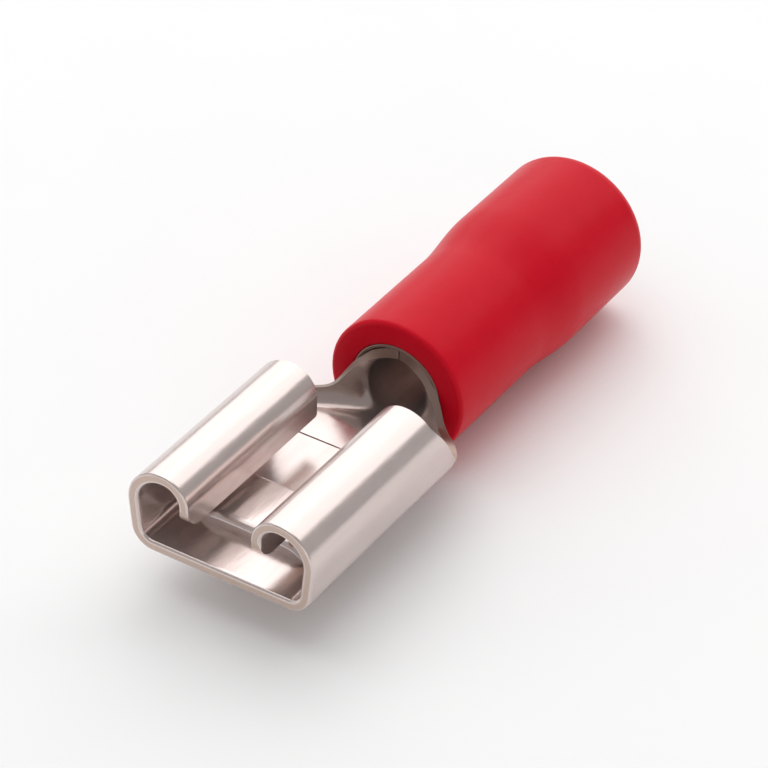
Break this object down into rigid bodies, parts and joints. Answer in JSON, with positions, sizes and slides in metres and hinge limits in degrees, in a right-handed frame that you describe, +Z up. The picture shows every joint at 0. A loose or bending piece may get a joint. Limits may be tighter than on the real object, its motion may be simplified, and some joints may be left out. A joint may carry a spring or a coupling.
{
  "type": "insulated female spade terminal",
  "caption": "Tin-plated female spade terminal with rolled grip edges, raised spring strip, crimp barrel and flared red vinyl sleeve.",
  "frame": {"origin": "middle of the receptacle's mouth, on the line that the tab and the wire share: halfway between the spring strip and the edges of the rolls, and on the barrel's axis", "axes": "+Y from the mouth to the wire end, along the barrel; +Z up through the open side of the receptacle; X across the two rolls"},
  "size_m": [0.0058, 0.0187, 0.0046],
  "materials": {
    "tin_plated_brass": "bright tin plate over brass sheet",
    "tinned_ferrule": "dull tin plate over thin brass tube",
    "red_vinyl": "satin moulded vinyl"
  },
  "bodies": {
    "root": {"terminal_body": "tin_plated_brass", "support_ferrule": "tinned_ferrule", "insulating_sleeve": "red_vinyl"}
  },
  "joints": []
}
